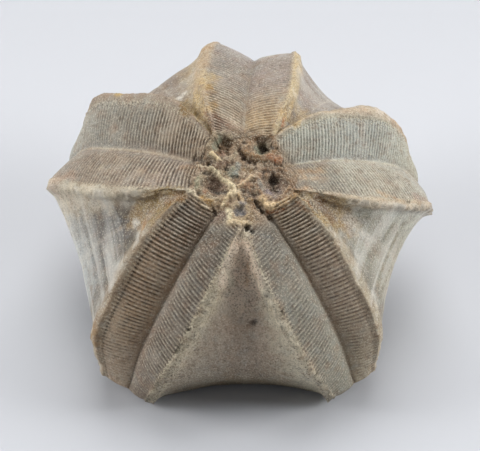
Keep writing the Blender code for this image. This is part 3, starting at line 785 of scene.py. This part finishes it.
def buildTheca():
    skin = Skin()
    apexes = skin.add([apexPoint(ray) for ray in range(5)], linear(plates["apexTone"]), crest=1.0)
    rays = [addRay(skin, ray, apexes) for ray in range(5)]
    margins = [addHollow(skin, ray, rays) for ray in range(5)]
    addSummit(skin, rays)
    addUnderside(skin, rays, margins)
    plain = np.vstack(skin.points)
    shape = bpy.data.meshes.new("blastoidTheca")
    shape.from_pydata(plain.tolist(), [], skin.faces)
    edit = bmesh.new()
    edit.from_mesh(shape)
    bmesh.ops.recalc_face_normals(edit, faces=edit.faces)
    edit.to_mesh(shape)
    edit.free()
    print("cup laid out:", len(plain), "corners")
    facing = np.zeros(len(plain) * 3)
    shape.vertices.foreach_get("normal", facing)
    worn, tones, read = wornSkin(skin, facing.reshape(-1, 3))
    for name in layers:
        shape.attributes.new(name, "FLOAT", "POINT").data.foreach_set("value", read[name])
    opaque = np.hstack((np.clip(tones, 0, 1), np.ones((len(tones), 1))))
    shape.attributes.new("tone", "FLOAT_COLOR", "POINT").data.foreach_set("color", opaque.reshape(-1))

    # lean it over and set it where the frame has it: same middle, same top
    roll = Matrix.Rotation(math.radians(cup["roll"]), 3, "Y")
    lean = Matrix.Rotation(math.radians(cup["lean"]), 3, "X")
    turn = np.array(roll @ lean).T
    plain = plain @ turn * mm
    worn = worn @ turn * mm
    place = (np.array(cadLow) + np.array(cadHigh) - plain.min(0) - plain.max(0)) / 2
    place[2] = cadHigh.z - plain[:, 2].max()
    low = np.array(cadLow) - (0, 0, 1)  # what is below the floor is cut off next
    shape.vertices.foreach_set("co", np.clip(worn + place, low, np.array(cadHigh)).reshape(-1))
    shape.update()

    # wear its foot flat where it rests
    edit = bmesh.new()
    edit.from_mesh(shape)
    loose = [corner for corner in edit.verts if not corner.link_faces]
    bmesh.ops.delete(edit, geom=loose, context="VERTS")
    everything = edit.verts[:] + edit.edges[:] + edit.faces[:]
    cut = bmesh.ops.bisect_plane(edit, geom=everything, dist=1e-8, plane_co=(0, 0, cadLow.z),
                                 plane_no=(0, 0, -1), clear_outer=True)
    footEdges = [item for item in cut["geom_cut"] if isinstance(item, bmesh.types.BMEdge)]
    bmesh.ops.holes_fill(edit, edges=footEdges)
    bmesh.ops.triangulate(edit, faces=[face for face in edit.faces if len(face.verts) > 4])
    edit.to_mesh(shape)
    edit.free()
    shape.shade_smooth()
    theca = bpy.data.objects.new("blastoidTheca", shape)
    bpy.context.scene.collection.objects.link(theca)
    triangles = sum(len(face.vertices) - 2 for face in shape.polygons)
    print("theca:", len(shape.vertices), "corners,", triangles, "triangles")
    return theca, Vector(place)


def addNode(tree, kind, settings={}, links={}):
    node = tree.nodes.new(kind)
    for key, value in settings.items():
        if isinstance(key, str) and hasattr(node, key):
            setattr(node, key, value)
        else:
            node.inputs[key].default_value = value
    for key, source in links.items():
        tree.links.new(source, node.inputs[key])
    return node


stone = {
    "clouds": (  # size in mm, low and high of the noise, colour, amount
        (2.4, 0.45, 0.70, "7d6852", 0.30),
        (1.7, 0.48, 0.72, "b8b6a9", 0.28),
        (1.1, 0.50, 0.70, "a9774f", 0.20),
        (0.8, 0.52, 0.70, "8b9392", 0.24),
        (0.55, 0.52, 0.68, "5e4a34", 0.32),
        (0.15, 0.54, 0.64, "4b3a28", 0.40),  # grains of a hair's width, drawn a little coarse
        (0.14, 0.54, 0.64, "efe5cf", 0.32),
    ),
    "gap": ("33251a", 0.80),   # painted shade between the ribs, and the patches it is broken into
    "gapPatches": (0.35, 0.32, 0.60),
    "back": ("e8dec8", 0.55),  # painted highlight on the backs of the ribs
    "ribHighlightPatches": (0.30, 0.42, 0.66),
    # painted shade in the pores
    "pore": ("2a2017", 0.80),
    "streak": ("e6e3da", 0.55),
    "streakStretch": (0.10, 0.95, 0),  # per mm across and along a plate
    "darkGrain": ("3d3025", 0.75),
    "paleGrain": ("e2d6bb", 0.70),
    "grainSize": 0.16,
    "gritSize": 0.14,   # mm; calcite grains of 0.05 mm are too fine to show and are drawn this coarse
    "gritDepth": 0.07,
    "gritStrength": 0.9,
    "roughness": (0.50, 0.72),  # smooth plates, rough ribs
    "ior": 1.55,
}


def weatheredCalcite():
    # calcite that replaced the skeleton, weathered out of rock: matt ribs, waxy plates, rust, and painted
    # shade in the gaps
    material = bpy.data.materials.new("weatheredCalcite")
    material.use_nodes = True
    tree = material.node_tree
    shader = tree.nodes["Principled BSDF"]
    where = addNode(tree, "ShaderNodeTexCoord").outputs["Object"]
    colour = addNode(tree, "ShaderNodeAttribute", {"attribute_name": "tone"}).outputs["Color"]
    read = {}
    for name in layers:
        read[name] = addNode(tree, "ShaderNodeAttribute", {"attribute_name": name}).outputs["Fac"]

    def noiseBetween(size, low, high, detail=4):
        cells = addNode(tree, "ShaderNodeTexNoise", {"Scale": 1 / (size * mm), "Detail": detail},
                        {"Vector": where})
        return addNode(tree, "ShaderNodeMapRange", {"From Min": low, "From Max": high},
                       {"Value": cells.outputs["Fac"]}).outputs["Result"]

    def times(one, other):
        if isinstance(other, float):
            product = addNode(tree, "ShaderNodeMath", {"operation": "MULTIPLY", 1: other}, {0: one})
        else:
            product = addNode(tree, "ShaderNodeMath", {"operation": "MULTIPLY"}, {0: one, 1: other})
        return product.outputs["Value"]

    def coat(under, code, much):
        return addNode(tree, "ShaderNodeMix", {"data_type": "RGBA", 7: linear(code) + [1.0]},
                       {0: much, 6: under}).outputs[2]

    mottled = addNode(tree, "ShaderNodeMath", {"operation": "SUBTRACT", 0: 1.0}, {1: read["calm"]})
    for size, low, high, code, much in stone["clouds"]:
        cloud = times(noiseBetween(size, low, high), mottled.outputs["Value"])
        colour = coat(colour, code, times(cloud, much))

    # pale streaks that run down the plates from the rims
    grain = addNode(tree, "ShaderNodeCombineXYZ", {}, {"X": read["across"], "Y": read["along"]})
    stretch = addNode(tree, "ShaderNodeVectorMath", {"operation": "MULTIPLY", 1: stone["streakStretch"]},
                      {0: grain.outputs["Vector"]})
    streak = addNode(tree, "ShaderNodeTexNoise", {"Scale": 1.0, "Detail": 3, "Distortion": 0.6},
                     {"Vector": stretch.outputs["Vector"]})
    light = addNode(tree, "ShaderNodeMapRange", {"From Min": 0.46, "From Max": 0.68},
                    {"Value": streak.outputs["Fac"]})
    colour = coat(colour, stone["streak"][0],
                  times(times(light.outputs["Result"], read["streaks"]), stone["streak"][1]))

    # painted shade in the gaps between the ribs, broken up, and in the pores
    gapShade = times(read["gap"], noiseBetween(*stone["gapPatches"]))
    colour = coat(colour, stone["gap"][0], times(gapShade, stone["gap"][1]))
    # painted highlight on the backs of the ribs, in patches
    ribHighlight = times(read["back"], noiseBetween(*stone["ribHighlightPatches"]))
    colour = coat(colour, stone["back"][0], times(ribHighlight, stone["back"][1]))
    # painted shade in the pores
    colour = coat(colour, stone["pore"][0], times(read["pore"], stone["pore"][1]))

    # grit: dark and pale grains
    dark = times(read["grain"], noiseBetween(stone["grainSize"], 0.52, 0.66, 2))
    pale = times(read["grain"], noiseBetween(stone["grainSize"] * 0.8, 0.54, 0.68, 2))
    colour = coat(colour, stone["darkGrain"][0], times(dark, stone["darkGrain"][1]))
    colour = coat(colour, stone["paleGrain"][0], times(pale, stone["paleGrain"][1]))

    grit = addNode(tree, "ShaderNodeTexNoise", {"Scale": 1 / (stone["gritSize"] * mm), "Detail": 3},
                   {"Vector": where})
    bump = addNode(tree, "ShaderNodeBump",
                   {"Strength": stone["gritStrength"], "Distance": stone["gritDepth"] * mm},
                   {"Height": grit.outputs["Fac"]})
    rough = addNode(tree, "ShaderNodeMapRange",
                    {"To Min": stone["roughness"][1], "To Max": stone["roughness"][0]},
                    {"Value": read["plate"]})
    tree.links.new(colour, shader.inputs["Base Color"])
    tree.links.new(rough.outputs["Result"], shader.inputs["Roughness"])
    tree.links.new(bump.outputs["Normal"], shader.inputs["Normal"])
    shader.inputs["IOR"].default_value = stone["ior"]
    return material


studio = {
    "floor": "c6c8cd",
    "floorSize": 3.0,
    "floorRoughness": 0.40,
    "floorGloss": 0.30,
    "sky": "eef0f4",
    "skyStrength": 0.165,
    "lights": (  # name, where it hangs, width and height, power, spread in degrees
        ("back", (0.02, 0.30, 0.36), (0.35, 0.35), 1.42, 180),
        ("top", (0.0, 0.05, 0.42), (0.25, 0.25), 0.22, 180),
        ("leftCard", (-0.180, 0.000, 0.090), (0.10, 0.08), 0.037, 60),
        ("rightCard", (0.180, 0.000, 0.090), (0.10, 0.08), 0.040, 60),
    ),
}


def addStudio():
    bpy.ops.mesh.primitive_plane_add(size=studio["floorSize"])
    floor = bpy.context.object
    floor.name = "table"
    # satin laminate: even, slightly glossy white
    material = bpy.data.materials.new("satinLaminate")
    material.use_nodes = True
    shader = material.node_tree.nodes["Principled BSDF"]
    shader.inputs["Base Color"].default_value = linear(studio["floor"]) + [1.0]
    shader.inputs["Roughness"].default_value = studio["floorRoughness"]
    shader.inputs["Specular IOR Level"].default_value = studio["floorGloss"]
    floor.data.materials.append(material)
    scene = bpy.context.scene
    scene.world = bpy.data.worlds.new("studio")
    scene.world.use_nodes = True
    sky = scene.world.node_tree.nodes["Background"]
    sky.inputs["Color"].default_value = linear(studio["sky"]) + [1.0]
    sky.inputs["Strength"].default_value = studio["skyStrength"]
    scene.view_settings.view_transform = "Standard"
    for name, at, size, power, spread in studio["lights"]:
        light = bpy.data.lights.new(name, "AREA")
        light.shape = "RECTANGLE"
        light.size, light.size_y = size
        light.energy = power
        light.spread = math.radians(spread)
        lamp = bpy.data.objects.new(name, light)
        lamp.location = at
        lamp.rotation_euler = Vector(at).to_track_quat("Z", "Y").to_euler()
        scene.collection.objects.link(lamp)


view = {  # degrees, metres and mm; the camera stands off the middle of the mouth
    "azimuth": 2.3,
    "elevation": 44.45,
    "roll": -1.1,
    "distance": 0.221,
    "lens": 198.8,
    "sensor": 36.0,
    "width": 480,
    "middle": (0.9, -49.6),  # pixels that the mouth lies right of and, below 0, above the frame's middle
}


def addCamera(middle):
    a = math.radians(view["azimuth"])
    e = math.radians(view["elevation"])
    back = Vector((math.sin(a) * math.cos(e), -math.cos(a) * math.cos(e), math.sin(e)))
    level = Vector((0, 0, 1)).cross(back).normalized()
    right = (Matrix.Rotation(math.radians(view["roll"]), 3, back) @ level).normalized()
    up = back.cross(right)
    pixel = view["distance"] / (view["lens"] / view["sensor"] * view["width"])
    aim = middle - right * view["middle"][0] * pixel + up * view["middle"][1] * pixel
    data = bpy.data.cameras.new("camera")
    data.lens = view["lens"]
    data.sensor_width = view["sensor"]
    data.clip_start = 0.01
    camera = bpy.data.objects.new("camera", data)
    camera.location = middle + back * view["distance"]
    toward = (camera.location - aim).normalized()
    right = (right - toward * right.dot(toward)).normalized()
    axes = Matrix((right, toward.cross(right), toward)).transposed()
    camera.rotation_euler = axes.to_euler()
    bpy.context.scene.collection.objects.link(camera)
    bpy.context.scene.camera = camera


theca, middle = buildTheca()
theca.data.materials.append(weatheredCalcite())
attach(theca, "root")
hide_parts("theca")
print("stone dressed")
addStudio()
addCamera(middle)
print("studio set")
